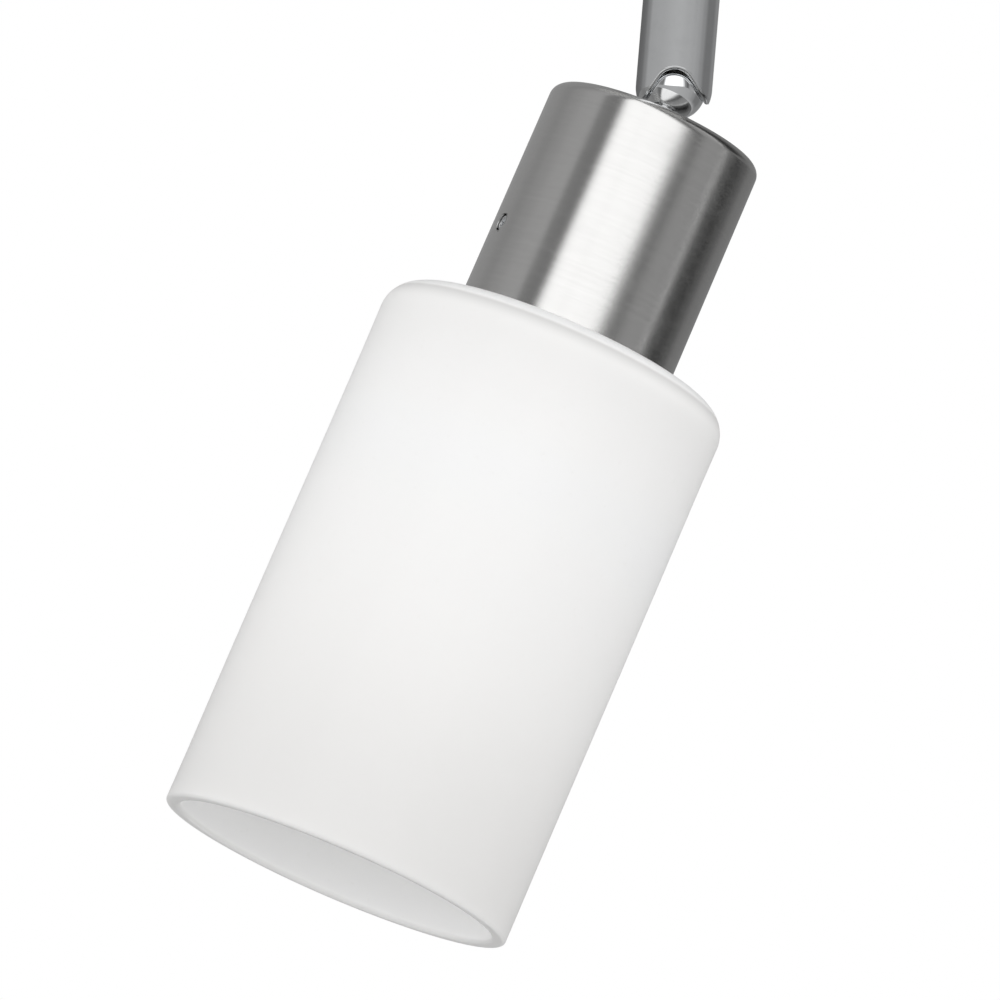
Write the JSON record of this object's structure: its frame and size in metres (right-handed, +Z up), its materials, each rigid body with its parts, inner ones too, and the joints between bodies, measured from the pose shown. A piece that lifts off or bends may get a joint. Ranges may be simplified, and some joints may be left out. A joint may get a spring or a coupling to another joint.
{
  "type": "track lighting fixture",
  "caption": "Track light: a plug-in adapter with a turning lock, a swivelling chrome arm with a slotted ball joint, and a brushed cup holding an open opal glass cylinder and bulb.",
  "frame": {"origin": "centre of the adapter's flat top face, which sits against the underside of the track", "axes": "+Z up out of the adapter into the track, +X along the track towards the turning lock, -Y towards the side that the ball joint's slot faces"},
  "size_m": [0.1229, 0.0745, 0.2544],
  "materials": {
    "adapter_plastic": "fine moulded texture, silver grey",
    "steel": "zinc-plated steel",
    "chrome": "bright polished plating",
    "brushed_nickel": "fine rings brushed round the axis, satin nickel plating",
    "nylon": "natural moulded nylon",
    "brass": "stamped or turned, plain",
    "dark_plastic": "moulded, satin",
    "lead_brown": "smooth wire sleeve",
    "lead_blue": "smooth wire sleeve",
    "holder_white": "moulded thermoset, satin",
    "gasket_rubber": "translucent silicone",
    "opal_glass": "satin-etched white opal, fire-polished rim",
    "bulb_diffuser": "milky diffuser"
  },
  "bodies": {
    "adapter": {"adapter_housing": "adapter_plastic", "adapter_cover": "adapter_plastic", "cover_screw_left": "steel", "cover_screw_right": "steel", "swivel_bush": "chrome", "bush_nut": "steel", "terminal_block": "nylon", "block_screw_live": "steel", "block_screw_neutral": "steel", "earth_clip": "brass", "adapter_lead_live": "lead_brown", "adapter_lead_neutral": "lead_blue"},
    "lock": {"lock_turret": "dark_plastic", "contact_live": "brass", "contact_neutral": "brass", "lock_knob": "adapter_plastic", "knob_screw": "steel"},
    "arm": {"arm_tube": "chrome", "swivel_washer": "nylon", "stop_ring": "steel", "arm_nut": "steel", "seat_plunger": "nylon", "seat_spring": "steel", "spring_plug": "brass", "arm_lead_live": "lead_brown", "arm_lead_neutral": "lead_blue"},
    "seat": {"ball_seat": "nylon"},
    "stem": {"ball_stem": "chrome", "stem_nut": "steel"},
    "head": {"head_cup": "brushed_nickel", "spin_washer": "nylon", "grub_screw_left": "steel", "grub_screw_right": "steel", "holder_carrier": "holder_white", "holder_body": "holder_white", "terminal_screw_live": "brass", "terminal_screw_neutral": "brass", "centre_contact": "brass", "side_contact": "brass", "thread_sleeve": "brass", "head_lead_live": "lead_brown", "head_lead_neutral": "lead_blue", "shade_gasket": "gasket_rubber", "glass_shade": "opal_glass", "shade_ring": "holder_white", "bulb_tip": "brass", "bulb_insulator": "dark_plastic", "bulb_cap": "brushed_nickel", "bulb_housing": "holder_white", "bulb_globe": "bulb_diffuser"}
  },
  "joints": [
    {"name": "lock_turn", "type": "hinge", "parent": "adapter", "child": "lock", "pos_m": [0.03, 0, 0], "axis": [0, 0, 1], "range_deg": [0, 90]},
    {"name": "arm_swivel", "type": "hinge", "parent": "adapter", "child": "arm", "pos_m": [0, 0, 0], "axis": [0, 0, 1], "range_deg": [-160, 160]},
    {"name": "head_lean", "type": "hinge", "parent": "arm", "child": "seat", "pos_m": [0, 0, -0.1027], "axis": [0, -1, 0], "range_deg": [-11.37, 48.63]},
    {"name": "head_tilt", "type": "hinge", "parent": "seat", "child": "stem", "pos_m": [0, 0, -0.1027], "axis": [-0.9476, 0, 0.3195], "range_deg": [-10, 80]},
    {"name": "head_spin", "type": "hinge", "parent": "stem", "child": "head", "pos_m": [0, 0, -0.1027], "axis": [-0.3146, -0.1736, -0.9332], "range_deg": [-170, 170]}
  ]
}
